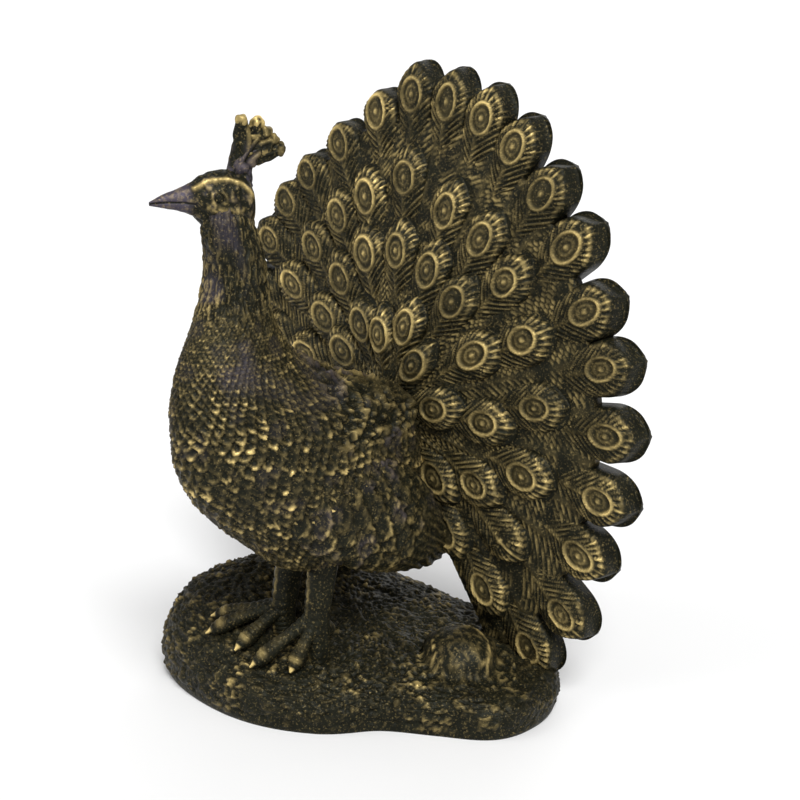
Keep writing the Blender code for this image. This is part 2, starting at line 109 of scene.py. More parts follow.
# Fan of tail feathers
FAN_ROOT_Y = 39.5
FAN_ROOT_Z = 107.5
FAN_REACH = 114.7
FAN_ASPECT = 1.273
FAN_LEAN = math.radians(2.2)
FAN_CURL = 0.00026
FAN_CONE = 31.0
FEATHER_SLOPE = 14.0
FAN_THICKNESS = 14.5
FAN_BACK_LEVEL = FAN_THICKNESS + 3.0
FAN_SECTOR = math.radians(150)
PLATE_REACH = 0.95
PLATE_NOTCH = 0.22
PLATE_FRONT_LEVEL = -3.0
PLATE_BACK_LEVEL = -10.0
PLATE_TOP_SHARE = 0.8
PLATE_TURNS = 330
PLATE_RINGS = 96
PLATE_BACK_RINGS = 40
PLATE_STEM_STEP = math.radians(10)
PLATE_STROKE = np.array((1.0, 1.0, 0.4))
RIM_DROP = 12.0
TIP_LENGTH = 16.0
TIP_LENGTH_FAR = 12.0
FAR_SIDE = (-56, -12)
EYE_LENGTH = 9.2
EYE_WIDTH = 6.4
ROOT_NARROWING = 0.42

# Kinds of feather: points across the top and the underside, and the levels of the side edge, the
# root and the underside
FEATHER_KINDS = {
    "outer": (33, 9, -RIM_DROP, -5.5, -FAN_BACK_LEVEL),
    "inner": (29, 4, -6.0, -5.5, -9.0),
    "plain": (21, 4, -6.0, -1.0, -9.0),
}

# Rings along a feather, and how its outline and its domed top round off
HIDDEN_RINGS = 6
PLAIN_STEP = 2
TIP_START = 1.8
TIP_RINGS = (1.6, 1.0, 0.55, 0.22, 0.03)
TIP_ROUNDING = 0.4
ROOT_ROUNDING = 0.2
DOME_TOP = 0.6
DOME_FALL = 4.6
DOME_ROUNDING = 3.2

# Rows of eyed feathers: half width as a share of their spacing, the most that it may be, length
# inside the eye, and each feather's angle from straight up in degrees and share of the reach
OUTER_ROW = (0.50, 14.0, 52.0, (
    (-134, 0.99), (-122, 1.00), (-110, 0.98), (-98, 1.01), (-86, 1.00), (-74, 1.00), (-62, 1.00),
    (-52, 1.00), (-42, 0.97), (-29, 0.96), (-15, 0.99), (-4, 1.03), (7, 1.02), (18, 1.02),
    (29, 1.01), (41, 0.99), (53, 0.99), (66, 0.98), (77, 1.01), (89, 1.02), (101, 1.02),
    (113, 1.00), (126, 1.035), (138.5, 1.015)))
SECOND_ROW = (0.46, 12.5, 46.0, (
    (-144, 0.72), (-130, 0.70), (-114, 0.71), (-97, 0.74), (-80, 0.80), (-64, 0.76), (-49, 0.73),
    (-34, 0.72), (-20, 0.72), (-3, 0.76), (17, 0.70), (34, 0.71), (49, 0.71), (66, 0.70),
    (84, 0.72), (103, 0.69), (124, 0.68), (141, 0.75)))
THIRD_ROW = (0.47, 12.0, 38.0, (
    (-146, 0.50), (-122, 0.50), (-99, 0.52), (-79, 0.56), (-60, 0.50), (-41, 0.52), (-22, 0.53),
    (-2, 0.52), (19, 0.50), (39, 0.49), (63, 0.48), (90, 0.49), (115, 0.50), (143, 0.50)))
FOURTH_ROW = (0.50, 11.0, 24.0, (
    (-128, 0.34), (-94, 0.32), (-60, 0.31), (-32, 0.30), (-10, 0.24), (18, 0.29), (45, 0.22),
    (85, 0.27), (129, 0.34)))
BACK_ROW_SHARE = 0.46
BACK_ROW_PROUD = 6.5
BACK_ROW_WIDTH = 0.55
BACK_ROW_COUNT = 9
BACK_ROW_STEP = 30.0
BACK_ROW_INNER = 34.0

# First seed of the random values of each row
OUTER_SEED = 100
SECOND_SEED = 140
THIRD_SEED = 180
FOURTH_SEED = 220
BACK_SEED = 300

# Rump, which closes the root of the fan from behind
RUMP_CENTRE = (0.0, 46.0, 84.0)
RUMP_HALF = (21.0, 18.0, 30.0)
RUMP_GRID = (70, 110)
RUMP_SCALES = (16, 14)
RUMP_SCALE_RELIEF = 1.1

# Carving of a feather
BARB_PITCH = 3.1
BARB_SWEEP = 1.0
BARB_RELIEF = 0.95
FRINGE_STROKES = 16
SHOWN_LENGTH = 37.0
FINE_STEP = 0.76
SHAFT_WIDTH = 0.9
SHAFT_RELIEF = 0.7
EYE_RELIEF = 1.25
EYE_RING = 0.088
OUTER_RING_PLACE = 0.95
INNER_RING_PLACE = 0.48
INNER_RING_SHARE = 0.8
EYE_DOT = 0.14
EYELESS_SHARE = 0.04
OUT_OF_EYE = 9.0
UNDERSIDE_BARBS = 0.3
UNDERSIDE_SHAFT = 0.6

# Body and neck: level, front, back, half width above the feet
BODY_STATIONS = (
    (40.0, -44.0, -14.0, 9.0),
    (44.0, -54.0, 2.0, 19.0),
    (54.0, -67.0, 20.0, 28.0),
    (66.0, -82.0, 30.0, 33.0),
    (82.0, -99.0, 33.0, 35.5),
    (100.0, -110.5, 31.0, 36.0),
    (118.0, -114.0, 22.0, 33.0),
    (134.0, -113.5, -22.0, 27.0),
    (150.0, -109.5, -50.0, 20.5),
    (166.0, -102.0, -61.5, 16.0),
    (182.0, -95.8, -65.2, 13.5),
    (198.0, -94.0, -67.2, 12.2),
    (210.0, -95.5, -71.0, 10.2),
    (219.0, -92.0, -73.5, 7.0),
)
BODY_TOP = 152.0
BODY_GRID = (180, 340)
NECK_GRID = (130, 200)
NECK_OVERLAP = 4.0
OUTLINE_POINTS = 721
LEVEL_STEPS = 400
SCALE_COLUMNS = 58
SCALE_ROW_SHARE = 0.72
SCALE_RELIEF = 2.0
NECK_LEVEL = 168.0
NECK_BLEND = 16.0
NECK_TOP = (176.0, 206.0)
STROKE_RELIEF = 1.2
STROKE_SIZE = 0.85
STROKE_STRETCH = np.array((1.0, 1.0, 0.25))
KNOB_SIZE = 2.4
KNOB_RELIEF = 2.6
CURL_SIZE = 4.4
SADDLE_BACK = (-60.0, -42.0)
SADDLE_LOW = (98.0, 110.0)
# Painted sheen on the breast: the way that the side where it shows faces, seen from above, and the levels
# where it comes in; then how deep the bluish tint and the painted sheen are
PAINTED_SHEEN_SIDE = (0.42, -0.91)
PAINTED_SHEEN_LEVELS = (132.0, 150.0)
TINT_AND_SHEEN_DEPTH = 0.5

# Head: half width, top and bottom at places ahead of its centre, its raised and sunk lines as places
# ahead and up, and the widths of those lines
HEAD_CENTRE = (0.0, -80.0, 220.5)
HEAD_YAW = math.radians(28)
HEAD_GRID = (150, 96)
HEAD_STATIONS = (
    (-9.0, 4.0, 4.0, -9.0),
    (-7.0, 7.0, 9.0, -12.0),
    (-2.0, 8.8, 12.6, -14.0),
    (6.0, 9.2, 13.4, -15.5),
    (12.5, 8.0, 12.0, -12.0),
    (18.0, 5.4, 9.0, -6.3),
    (24.0, 3.8, 6.2, -3.6),
    (31.0, 2.4, 3.8, -2.0),
    (36.8, 0.7, 1.0, -0.7),
)
EYE_PLACE = (8.0, 8.4, 2.0)
EYE_RADIUS = 2.2
EYE_SUNK = 0.4
SOCKET_RADIUS = 3.0
SOCKET_WIDTH = 0.7
BEAK_START = (17.0, 22.0)
BROW = ((18.0, 6.2), (12.0, 9.4), (4.0, 10.0), (-3.0, 7.4), (-8.0, 1.5))
CHEEK = ((15.0, -1.0), (10.0, -2.6), (4.0, -3.6), (-2.0, -3.0))
THROAT = ((17.0, -3.5), (10.0, -7.5), (2.0, -9.0))
MOUTH = ((14.0, -1.5), (22.0, 0.2), (30.0, 0.6), (37.0, 0.2))
BROW_WIDTH = 0.8
CHEEK_WIDTH = 1.1
THROAT_WIDTH = 1.6
MOUTH_WIDTH = 0.55

# Crest: each plume's lean back in degrees and length
CREST_FOOT = (-3.0, 9.5)
CREST_PLUMES = ((4, 24.7), (20, 24.6), (33, 22.5), (45, 21.8), (58, 21.7))
CREST_RADII = (4.4, 3.2, 2.4)
CREST_TIP_RADIUS = 3.0
CREST_SUNK = 4.0
CREST_NECK = (4.5, 7.0)
CREST_SHINE = (0.45, 0.8, 0.3, 0.3, 0.15)
PLUME_FILL = 0.8
PLUME_LUMPS = 2.4
PLUME_END = 0.8
TUFT_MIDDLE = (-10.4, 23.2)
TUFT_HALF = (8.0, 3.2, 8.4)
TUFT_RELIEF = 1.3
BALL_GRID = (20, 24)
TUFT_GRID = (60, 60)
PLUME_GRID = (50, 32)

# Wings: centre, and half length, half height and half thickness before they are pitched
WING_CENTRE = (27.0, -22.0, 70.5)
WING_HALF = (62.0, 29.0, 14.0)
WING_PITCH = math.radians(31)
WING_TAPER = 0.25
WING_TUCK = 6.0
WING_SCALE_RELIEF = 2.6
WING_SCALE_WIDTH = 10.5
WING_SCALE_LENGTH = 8.0
WING_RIM = (0.1, 0.7)
WING_GRID = (170, 130)
WING_ROUNDING = 0.8
WING_REAR = (0.25, 0.75)
LONG_STROKE_PITCH = 4.2

# Legs: hip and ankle above the feet, and the tips of their toes, which lie on the base. The rates of
# plates and wrinkles are in radians from end to end.
LEFT_LEG = ((12.5, -38.0, 52.0), (11.0, -42.5, 21.5))
RIGHT_LEG = ((-12.5, -33.0, 52.0), (-15.0, -39.0, 18.5))
LEFT_TOES = ((-8.2, -69.4), (10.2, -61.0), (3.0, -27.0))
RIGHT_TOES = ((-49.0, -56.5), (-43.4, -65.2), (-21.7, -66.4), (-22.0, -24.0))
LEG_RADII = (7.7, 6.0, 5.6)
# The turn round each leg of a thin ridge that carries a painted highlight on the side towards the camera
LEG_HIGHLIGHT_TURN = 1.95
LEG_SUNK = 3.0
LEG_GRID = (90, 32)
LEG_PLATE_RATE = 40.0
TOE_RADIUS = 3.0
TOE_STATIONS = ((0.0, 1.5), (0.25, 1.15), (0.5, 0.95), (0.7, 1.25), (0.87, 0.95), (1.0, 0.33))
TOE_LIE = 0.55
TOE_START = 3.0
TOE_SLOPE = 1.15
TOE_GRID = (80, 22)
TOE_JOINTS = (0.45, 0.7)
TOE_WRINKLE_RATE = 44.0
TOE_WRINKLE_END = 0.84
CLAW_START = (0.85, 0.9)

# Camera: the point it turns about, its direction, distance and lens
CAMERA_TARGET = (0.0, 39.5, 137.5)
CAMERA_AZIMUTH = math.radians(41.15)
CAMERA_ELEVATION = math.radians(14.91)
CAMERA_DISTANCE = 871.15
CAMERA_LENS = 78.4
CAMERA_SHIFT = (-0.0179, -0.002)

# White room, and wide far lights: name, the way that each shines from, its spread and strength
ROOM_STRENGTH = 0.4
SOFT_LIGHTS = (
    ("key", (1.2, -0.8, 1.5), math.radians(26), 3.2),
    ("fill", (-0.9, -1.3, 1.0), math.radians(40), 0.8),
    ("back", (-0.5, 1.3, 0.9), math.radians(40), 0.7),
)
FLOOR_SIZE = 60.0
FLOOR_COLOUR = (0.82, 0.82, 0.82, 1)
FLOOR_ROUGHNESS = 0.7

# Finish: how much the painted masks are steepened, the darkest and lightest of the dark ground, the
# bluish tint with its painted sheen and the gold, and roughness and metal from the ground to the gold
MASK_CONTRAST = 1.2
DARK_COLOURS = ((0.002, 0.0022, 0.0014), (0.019, 0.0196, 0.0118))
TINT_AND_SHEEN_COLOUR = (0.060, 0.052, 0.070)
GOLD_COLOUR = (0.92, 0.69, 0.27)
ROUGHNESS = (0.44, 0.34)
METAL = (0.3, 0.75)
SPECULAR_LEVEL = 0.1

# Grain of the finish: mottles and grains for each metre, how the grains break up the gold, the gold
# of the finest grit and the grain values that show it, and the depth of the grain in metres
MOTTLE_SCALE = 90.0
GRAIN_SCALE = 900.0
GRAIN_WEAR = (0.45, 1.5)
GRIT_SHINE = 0.16
GRIT_SPAN = (0.56, 0.72)
GRAIN_STRENGTH = 0.6
GRAIN_DEPTH = 0.0005

# How far the end rings of a rounded form stay from its poles, in radians
WIDE_INSET = 0.02
SMALL_INSET = 0.05

# Shape of a scale: its half width in columns, its length in rows, and where its raised edge lies
SCALE_HALF = 0.56
SCALE_LENGTH = 1.3
SCALE_EDGE = 0.84

# Random values behind every rough surface, the same on each run, and how far apart the shifts lie
LATTICE_SIZE = 32
NOISE_SHIFT = 7.3
LATTICE = np.random.default_rng(11).uniform(-1, 1, (LATTICE_SIZE,) * 3)


def noise(points, size, shift=0):
    """Smooth random values from -1 to 1 over space, with lumps of the given size.

    The uses on one surface have different shifts, so that their patterns differ.
    """
    place = points / size + shift * NOISE_SHIFT
    cell = np.floor(place).astype(int)
    t = place - cell
    t = t * t * (3 - 2 * t)
    total = np.zeros(points.shape[:-1])
    for corner in np.ndindex(2, 2, 2):
        weight = np.prod([t[..., k] if corner[k] else 1 - t[..., k] for k in range(3)], axis=0)
        spot = [(cell[..., k] + corner[k]) % LATTICE_SIZE for k in range(3)]
        total += weight * LATTICE[spot[0], spot[1], spot[2]]
    return total


def smooth_step(low, high, value):
    """Ease from 0 at the low value to 1 at the high value."""
    t = np.clip((value - low) / (high - low), 0, 1)
    return t * t * (3 - 2 * t)


def bump(distance, width):
    """A rounded ridge over a distance from its middle line."""
    return np.exp(-(distance / width) ** 2)


def smooth_rows(table, keys):
    """Read a table of stations at the given first values through a smooth curve."""
    rows = np.array(table, float)
    x = rows[:, 0]
    slopes = np.gradient(rows[:, 1:], x, axis=0)
    place = np.clip(np.searchsorted(x, keys) - 1, 0, len(x) - 2)
    span = (x[place + 1] - x[place])[:, None]
    t = ((keys - x[place])[:, None]) / span
    low, high = rows[place, 1:], rows[place + 1, 1:]
    return ((2 * t ** 3 - 3 * t ** 2 + 1) * low + (t ** 3 - 2 * t ** 2 + t) * span * slopes[place]
            + (3 * t ** 2 - 2 * t ** 3) * high + (t ** 3 - t ** 2) * span * slopes[place + 1])


def full_turn(count):
    """Directions at equal steps all the way round."""
    return 2 * math.pi * np.arange(count) / count


def round_grid(rows, around, inset):
    """Angles of a ball's rings from end to end as a column, and round each ring as a row."""
    return np.linspace(inset, math.pi - inset, rows)[:, None], full_turn(around)[None, :]


def outward(points):
    """Unit normals of a closed loft of rings, pointing away from its middle."""
    along = np.gradient(points, axis=0)
    around = np.roll(points, -1, 1) - np.roll(points, 1, 1)
    normal = np.cross(around, along)
    normal /= np.maximum(1e-9, np.linalg.norm(normal, axis=2, keepdims=True))
    away = points - points.mean(axis=1, keepdims=True)
    return normal * np.sign((normal * away).sum())


def above_feet(points):
    """Move points drawn from the bird's feet up onto the base."""
    return points + np.array((0.0, 0.0, BASE_HEIGHT))


def scales(u, v, columns=LATTICE_SIZE, rim=(0.16, 0.36)):
    """Overlapping rounded scales, whose tips point to smaller v, over a whole number of columns.

    Gives each point's height within its scale, from 0 at the root to 1 at the tip, how near it is
    to the edge of the scale's tip, and a random value that the whole scale shares. Scales of the
    higher rows lie over those of the rows below them. The rim is how wide the edge of a tip is and
    how far it runs up the sides.
    """
    row = np.floor(v)
    height = np.zeros_like(u)
    edge = np.zeros_like(u)
    own = np.zeros_like(u)
    for step in (0, 1, 2):
        line = row + step
        stagger = 0.5 * (line % 2)
        place = np.round(u - stagger)
        side = u - stagger - place
        down = np.maximum(0.0, line - v)
        reach = np.hypot(side / SCALE_HALF, down / SCALE_LENGTH)
        over = reach < 1
        column = (place % columns).astype(int) % LATTICE_SIZE
        whole = line.astype(int)
        chance = LATTICE[whole * 5 % LATTICE_SIZE, column, whole * 3 % LATTICE_SIZE]
        height = np.where(over, reach ** 1.5, height)
        edge = np.where(over, bump(reach - SCALE_EDGE, rim[0]) * bump(side, rim[1]), edge)
        own = np.where(over, chance, own)
    return height, edge, own


def shell(points, gold, violet=0.0):
    """A closed loft of rings as points, faces and masks, with its faces pointing out."""
    count, around = points.shape[:2]
    masks = [np.broadcast_to(mask, (count, around)).reshape(-1) for mask in (gold, violet)]
    index = np.arange(count * around).reshape(count, around)
    nxt = np.roll(index, -1, 1)
    quads = np.stack([index[:-1], nxt[:-1], nxt[1:], index[1:]], -1).reshape(-1, 4)
    flat = points.reshape(-1, 3)
    ends = np.stack([points[0].mean(axis=0), points[-1].mean(axis=0)])
    low, high = len(flat), len(flat) + 1
    caps = [(low, b, a) for a, b in zip(index[0], nxt[0])]
    caps += [(high, a, b) for a, b in zip(index[-1], nxt[-1])]
    everything = np.vstack([flat, ends])
    a, b, c, d = (everything[quads[:, k]] for k in range(4))
    volume = (np.cross(a, b) * c).sum() + (np.cross(a, c) * d).sum()
    faces = [tuple(face) for face in quads.tolist()] + [tuple(int(k) for k in face) for face in caps]
    if volume < 0:
        faces = [face[::-1] for face in faces]
    masks = [np.concatenate([mask, (mask[0], mask[-1])]) for mask in masks]
    return everything, faces, masks


def piece(name, shells, material):
    """Make one object of the scene from closed shells, inside the casting's box and riding on it."""
    points, faces, golds, violets, start = [], [], [], [], 0
    for spots, sides, (gold, violet) in shells:
        points.append(spots)
        faces += [tuple(start + k for k in side) for side in sides]
        golds.append(gold)
        violets.append(violet)
        start += len(spots)
    mesh = bpy.data.meshes.new(name)
    mesh.from_pydata(np.clip(np.vstack(points) * UNIT, *SOLID_BOX).tolist(), [], faces)
    for label, values in (("gold", golds), ("violet", violets)):
        layer = mesh.attributes.new(label, "FLOAT", "POINT")
        values = np.clip(np.concatenate(values), 0, 1) ** MASK_CONTRAST
        layer.data.foreach_set("value", values.astype(np.float32))
    mesh.shade_smooth()
    mesh.materials.append(material)
    made = bpy.data.objects.new(name, mesh)
    bpy.context.scene.collection.objects.link(made)
    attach(made, "root")
    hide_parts("peacock_figurine")
    return made


def outline_reach(turn):
    """Distance of the base's widest outline from its middle, as shares, at given directions."""
    points = np.array(BASE_OUTLINE)
    turns = np.arctan2(points[:, 1], points[:, 0])
    order = np.argsort(turns)
    turns, reach = turns[order], np.hypot(points[:, 0], points[:, 1])[order]
    full = 2 * math.pi
    table = np.column_stack([np.concatenate([turns - full, turns, turns + full]), np.tile(reach, 3)])
    return smooth_rows(table, np.asarray(turn, float).reshape(-1))[:, 0].reshape(np.shape(turn))


def base_height(x, y):
    """Height of the rocky top over points of the plan, without its crumbs."""
    u = x / (BASE_LENGTH / 2)
    v = y / (BASE_DEPTH / 2)
    reach = np.minimum(1.0, np.hypot(u, v) / outline_reach(np.arctan2(v, u)))
    top = BASE_HEIGHT * (BASE_MIDDLE_RISE + BASE_RISE_ALONG * u + BASE_RISE_ENDS * u * u
                         + BASE_RISE_ACROSS * v)
    dome = (1 - reach ** BASE_EDGE_POWER) ** (1 / BASE_EDGE_POWER)
    away = np.hypot(x - ROCK_PLACE[0], y - ROCK_PLACE[1]) / ROCK_RADIUS
    rock = ROCK_RISE * np.sqrt(np.maximum(0.0, 1 - away ** ROCK_ROUNDING))
    return BASE_RIM_LEVEL + (top - BASE_RIM_LEVEL + rock) * dome


def base_shell():
    """The mound, with crumbs and winding ridges all over its top and side."""
    turns = full_turn(BASE_TURNS)
    edge = outline_reach(turns)
    side = np.column_stack([np.cos(turns) * edge * BASE_LENGTH / 2, np.sin(turns) * edge * BASE_DEPTH / 2])
    rings = []
    for share in BASE_UNDER_RINGS:
        rings.append(np.column_stack([side * (1 - BASE_RIM_INSET) * share, np.zeros(BASE_TURNS)]))
    for level in np.linspace(0, BASE_WALL_TOP, BASE_WALL_RINGS):
        inset = 1 - BASE_RIM_INSET * (1 - level) ** 2
        rings.append(np.column_stack([side * inset, np.full(BASE_TURNS, BASE_RIM_LEVEL * level)]))
    for share in np.arange(BASE_RINGS) / BASE_RINGS:
        even = BASE_RINGS_EVEN * share ** 2
        shrink = (1 - even) * math.cos(math.pi / 2 * share) ** (2 / BASE_EDGE_POWER) + even * (1 - share)
        spots = side * shrink
        rings.append(np.column_stack([spots, base_height(spots[:, 0], spots[:, 1])]))
    points = np.array(rings)
    x, y, z = points[..., 0], points[..., 1], points[..., 2]
    on_rock = smooth_step(1.15, 0.8, np.hypot(x - ROCK_PLACE[0], y - ROCK_PLACE[1]) / ROCK_RADIUS)
    rough = (1 - 0.9 * on_rock) * (1 - 0.4 * smooth_step(*SMOOTH_END, x))
    crumbs = 0.5 * noise(points, CRUMB_SIZES[0]) + 0.5 * noise(points, CRUMB_SIZES[1], 1)
    worms = np.maximum(bump(noise(points, WORM_SIZE, 2), WORM_WIDTHS[0]),
                       bump(noise(points, WORM_SIZE, 5), WORM_WIDTHS[1]))
    lumps = noise(points, LUMP_SIZE, 3)
    relief = rough * (CRUMB_RELIEF * crumbs + WORM_RELIEF * worms) + LUMP_RELIEF * lumps
    off_crescent = np.hypot(x - CRESCENT[0], y - CRESCENT[1]) - CRESCENT[2]
    crescent = bump(off_crescent, CRESCENT_WIDTH) * on_rock * (z > CRESCENT_FOOT)
    rock_lumps = ROCK_LUMP_RELIEF * on_rock * noise(points, ROCK_LUMP_SIZE, 22)
    relief += CRESCENT_RELIEF * crescent + rock_lumps - BASE_SUNK
    relief *= smooth_step(0.5, 5.0, z)
    patches = smooth_step(-0.3, 0.6, noise(points, 12.0, 4))
    gold = rough * worms * (0.04 + 0.3 * patches) * smooth_step(0.1, 0.6, crumbs + 0.25)
    gold += rough * smooth_step(0.3, 0.6, crumbs) * (0.05 + 0.3 * patches)
    gold += 0.7 * crescent * smooth_step(-0.5, 0.4, crumbs + lumps)
    gold += on_rock * 0.12 * smooth_step(-0.1, 0.4, crumbs)
    away = np.hypot(x / BASE_LENGTH, y / BASE_DEPTH)[..., None]
    normal = outward(points)
    up = np.array((0.0, 0.0, 1.0))
    near_middle = up + (normal - up) * smooth_step(0.02, 0.2, away)
    normal = np.where(z[..., None] > BASE_RIM_LEVEL, near_middle, normal)
    return shell(points + normal * relief[..., None], gold * smooth_step(1.0, 5.0, z))


def fan_points(s, t, forward):
    """Place points of the fan: across, up from the root, and forward of its plane."""
    out = forward + FAN_CURL * s * s
    y = FAN_ROOT_Y + t * math.sin(FAN_LEAN) - out * math.cos(FAN_LEAN)
    z = FAN_ROOT_Z + t * math.cos(FAN_LEAN) + out * math.sin(FAN_LEAN)
    return above_feet(np.stack([s, y, z], -1))


def feather_spacing(share, step, angle):
    """Distance between neighbouring feathers of a row at an angle, for a step in radians."""
    return FAN_REACH * share * step * math.hypot(math.cos(angle), FAN_ASPECT * math.sin(angle))


def feather_grid(over, under, half_width, inner, tip, step):
    """Rings along a feather, far apart where others hide it, and points over its top and underside.

    Gives the places along, the half width of each ring, the places across as shares of it, and
    which points lie on the top.
    """
    shown = min(SHOWN_LENGTH, inner - 3.0)
    along = np.concatenate([np.linspace(-inner + 0.05, -shown, HIDDEN_RINGS, endpoint=False),
                            np.arange(-shown, tip - TIP_START, step),
                            tip - np.array(TIP_RINGS)])
    ahead = np.clip(along / tip, 0, 1)
    back = np.clip(-along / inner, 0, 1)
    half = half_width * np.where(along > 0, (1 - ahead ** 2) ** TIP_ROUNDING,
                                 (1 - ROOT_NARROWING * back) * (1 - back ** 2) ** ROOT_ROUNDING)
    across = np.concatenate([np.linspace(-1, 1, over), np.linspace(1, -1, under + 2)[1:-1]])
    top = np.arange(len(across)) < over
    across = np.where(top, np.sign(across) * np.abs(across) ** 0.9, across)
    return along[:, None] + 0 * across[None, :], half[:, None], across[None, :], top[None, :]


def feather_shell(share, angle, half_width, inner, kind, seed):
    """One feather: a domed tongue with a shaft, barbs and a ringed eye.

    The kind is outer for a feather that stands free at the rim, inner for one that lies on the
    others, and plain for one at the back, which faces back and has no eye.
    """
    chance = np.random.default_rng(seed)
    way = np.array((math.sin(angle), FAN_ASPECT * math.cos(angle)))
    centre = way * FAN_REACH * share
    along = way / np.linalg.norm(way)
    across = np.array((along[1], -along[0]))
    facing = -1 if kind == "plain" else 1
    level = -FAN_THICKNESS - BACK_ROW_PROUD if kind == "plain" else FAN_CONE * (1 - share)
    far = kind == "outer" and FAR_SIDE[0] < math.degrees(angle) < FAR_SIDE[1]
    tip = TIP_LENGTH_FAR if far else TIP_LENGTH
    step = FINE_STEP * (PLAIN_STEP if kind == "plain" else 1)
    over, under, edge_level, root_level, deep = FEATHER_KINDS[kind]
    a, half, q, top = feather_grid(over, under, half_width, inner, tip, step)
    c = half * q

    # Domed top, from the eye down to the rim and the root
    ahead = np.clip(a / tip, 0, 1)
    rim = np.clip(np.maximum(np.abs(q), np.hypot(ahead, q) * (a > 0)), 0, 1)
    dome = DOME_TOP - DOME_FALL * rim ** DOME_ROUNDING
    dome += (edge_level + DOME_FALL - DOME_TOP) * smooth_step(0.93, 1.0, rim)
    w = dome + (root_level - DOME_TOP) * np.clip(-a / inner, 0, 1)

    # Barbs sweep forward from the shaft, and fan out round the tip
    wobble = chance.uniform(-1, 1)
    sweep = (a - BARB_SWEEP * np.abs(c)) / BARB_PITCH
    fringe = np.arctan2(np.abs(c), a + 4.0) * FRINGE_STROKES / math.pi
    at_tip = smooth_step(-2.0, 2.0, a)
    stroke = (1 - at_tip) * np.cos(2 * math.pi * sweep) + at_tip * np.cos(2 * math.pi * fringe)
    layer = 40.0 * seed % 97
    flat = np.stack([a, c, np.full_like(a, layer)], -1)
    stroke *= 0.85 + 0.5 * noise(flat, 3.0)
    eyed = kind != "plain" and chance.uniform() > EYELESS_SHARE
    length = EYE_LENGTH * chance.uniform(0.84, 1.0)
    width = EYE_WIDTH * chance.uniform(0.86, 1.02)
    inner_shine = chance.uniform(0.0, 0.4)
    ring = np.hypot((a - wobble * 0.6) / length, (c + wobble * 0.4) / width)
    ring = ring if eyed else ring + OUT_OF_EYE
    outside = smooth_step(1.0, 1.25, ring)
    shaft = bump(c, SHAFT_WIDTH) * smooth_step(2.0, -6.0, a if eyed else a - 14)
    outer_ring = bump(ring - OUTER_RING_PLACE, EYE_RING)
    inner_ring = bump(ring - INNER_RING_PLACE, INNER_RING_SHARE * EYE_RING)
    dot = bump(ring, EYE_DOT)
    off_shaft = (1 - shaft) * smooth_step(0.02, 0.2, np.abs(c) / half_width)
    detail = BARB_RELIEF * stroke * outside * off_shaft
    detail += SHAFT_RELIEF * shaft * outside
    detail += EYE_RELIEF * (outer_ring + 0.45 * inner_ring + 0.9 * dot) - 0.7 * smooth_step(1.0, 0.85, ring)
    detail *= 0.5 if kind == "plain" else 1
    w = w + detail * (smooth_step(0.97, 0.8, rim) if kind == "outer" else smooth_step(1.0, 0.93, rim))

    # Gold where the carving stands up, more on the tip of each lobe, and a painted highlight on one side of
    # each eye's outer ring
    rubbed = 0.5 + 0.5 * noise(flat, 4.0, 1)
    strokes = smooth_step(0.3, 1.0, stroke) * outside
    near_tip = smooth_step(-14, 6, a)
    speckled = smooth_step(-0.35, 0.35, noise(flat, 2.2, 3))
    gold = strokes * (0.34 + 0.4 * near_tip * speckled) * (0.3 + rubbed) + 0.2 * shaft * outside * rubbed
    # Painted highlight: the outer ring of each eye is lighter on one side, as where light falls on it
    ring_painted_highlight = 0.75 + 0.35 * np.tanh((a + c) / 5.0)
    gold += (0.5 + 0.75 * rubbed) * ring_painted_highlight * outer_ring + inner_shine * inner_ring * (0.3 + rubbed)
    gold += 0.7 * dot + 0.1 * smooth_step(1.0, 0.8, ring) * rubbed
    gold += 0.3 * bump(rim - 0.8, 0.06) * near_tip * speckled
    gold *= 0.35 if kind == "plain" else 0.85 + 0.25 * chance.uniform(-1, 1)
    gold *= smooth_step(0.95, 0.82, rim) if kind == "outer" else smooth_step(1.0, 0.93, rim)

    # Rounded underside with a shaft of its own
    belly = edge_level + (deep - edge_level) * (1 - q ** 2) * np.sqrt(half / half.max())
    ridges = np.cos(2 * math.pi * sweep)
    shaft = bump(q, 0.12)
    carved = UNDERSIDE_BARBS * ridges * (1 - shaft) + UNDERSIDE_SHAFT * shaft
    belly = belly - carved * (kind == "outer") * (1 - np.abs(q))
    w = np.where(top, w, belly)
    worn_back = (0.2 * smooth_step(0.2, 1.0, ridges) + 0.25 * shaft) * speckled
    gold = np.where(top, gold, worn_back * smooth_step(0.95, 0.7, ahead))

    s = centre[0] + along[0] * a + across[0] * c
    t = centre[1] + along[1] * a + across[1] * c
    reach = np.hypot(s, t / FAN_ASPECT) / FAN_REACH
    return shell(fan_points(s, t, level + facing * (w + FEATHER_SLOPE * (share - reach))), gold)


def row_shells(row, kind, seed):
    """The feathers of one row of the fan."""
    wide, limit, inner, feathers = row
    step = math.radians((feathers[-1][0] - feathers[0][0]) / (len(feathers) - 1))
    shells = []
    for i, (degrees, share) in enumerate(feathers):
        angle = math.radians(degrees)
        half = min(limit, wide * feather_spacing(share, step, angle))
        shells.append(feather_shell(share, angle, half, inner, kind, seed + i))
    return shells


def back_row_shells():
    """Plain tail feathers behind the fan."""
    step = math.radians(BACK_ROW_STEP)
    shells = []
    for i in range(BACK_ROW_COUNT):
        angle = step * (i - (BACK_ROW_COUNT - 1) / 2)
        half = BACK_ROW_WIDTH * feather_spacing(BACK_ROW_SHARE, step, angle)
        shells.append(feather_shell(BACK_ROW_SHARE, angle, half, BACK_ROW_INNER, "plain", BACK_SEED + i))
    return shells


